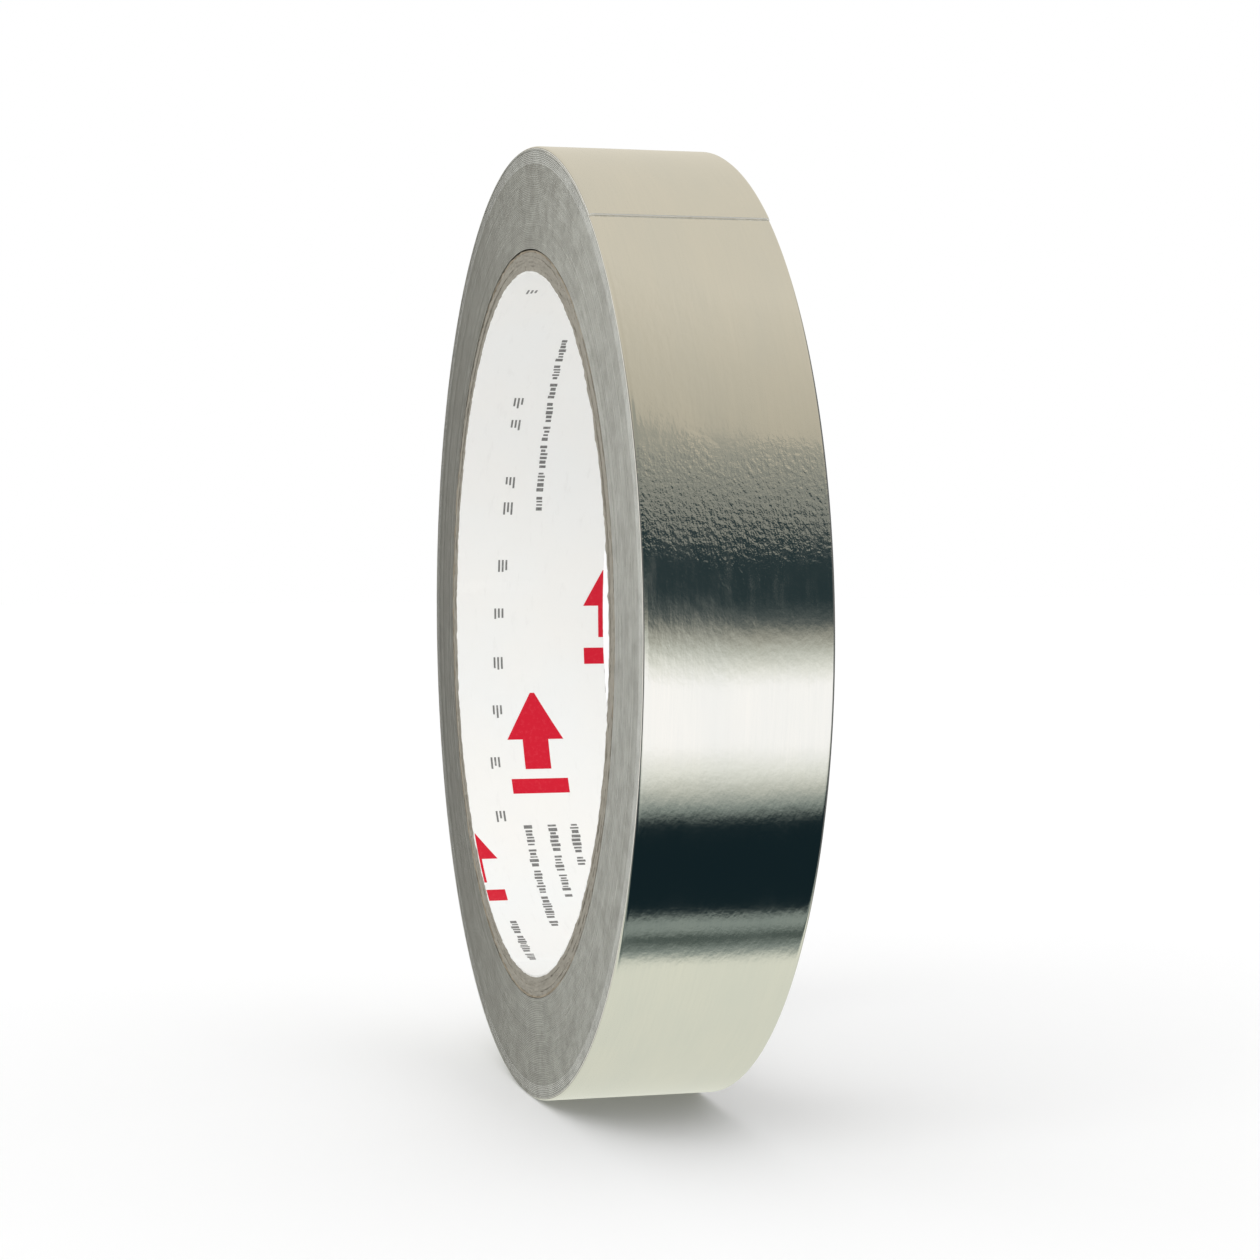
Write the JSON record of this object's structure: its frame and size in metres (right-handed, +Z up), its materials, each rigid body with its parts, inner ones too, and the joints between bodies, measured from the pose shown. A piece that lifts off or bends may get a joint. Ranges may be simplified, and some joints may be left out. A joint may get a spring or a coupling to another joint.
{
  "type": "copper foil tape roll",
  "caption": "Roll of narrow adhesive foil tape with its release liner, wound on a wide-bore paper core, with a free end that lifts and peels.",
  "frame": {"origin": "centre of the core, half way across its width", "axes": "+Y along the core's axis, away from the face that the picture shows; +Z up as the roll stands on its tread; the tape's free end is on the +X side, 52.5 degrees up from +X towards +Z"},
  "size_m": [0.1027, 0.0186, 0.1029],
  "materials": {
    "tinned_foil": "gloss",
    "adhesive": "satin",
    "liner_paper": "satin",
    "wound_edge": "satin",
    "printed_paper": "matte",
    "core_board": "matte",
    "wrap_paper": "matte"
  },
  "bodies": {
    "roll": {"core_print_ply": "printed_paper", "core_board_ply_1": "core_board", "core_board_ply_2": "core_board", "core_board_ply_3": "core_board", "core_board_ply_4": "core_board", "core_wrap_ply": "wrap_paper", "wound_turns": "wound_edge", "last_turn_liner": "liner_paper", "last_turn_adhesive": "adhesive", "last_turn_foil": "tinned_foil"},
    "tape_end": {"end_liner": "liner_paper", "end_adhesive": "adhesive", "end_foil": "tinned_foil"},
    "foil_tip": {"tip_adhesive": "adhesive", "tip_foil": "tinned_foil"}
  },
  "joints": [
    {"name": "tape_end_lift", "type": "hinge", "parent": "roll", "child": "tape_end", "pos_m": [0.01549, 0, 0.04913], "axis": [0, -1, 0], "range_deg": [0, 80]},
    {"name": "foil_peel", "type": "hinge", "parent": "tape_end", "child": "foil_tip", "pos_m": [0.01973, 0, 0.04763], "axis": [0, -1, 0], "range_deg": [0, 90]}
  ]
}
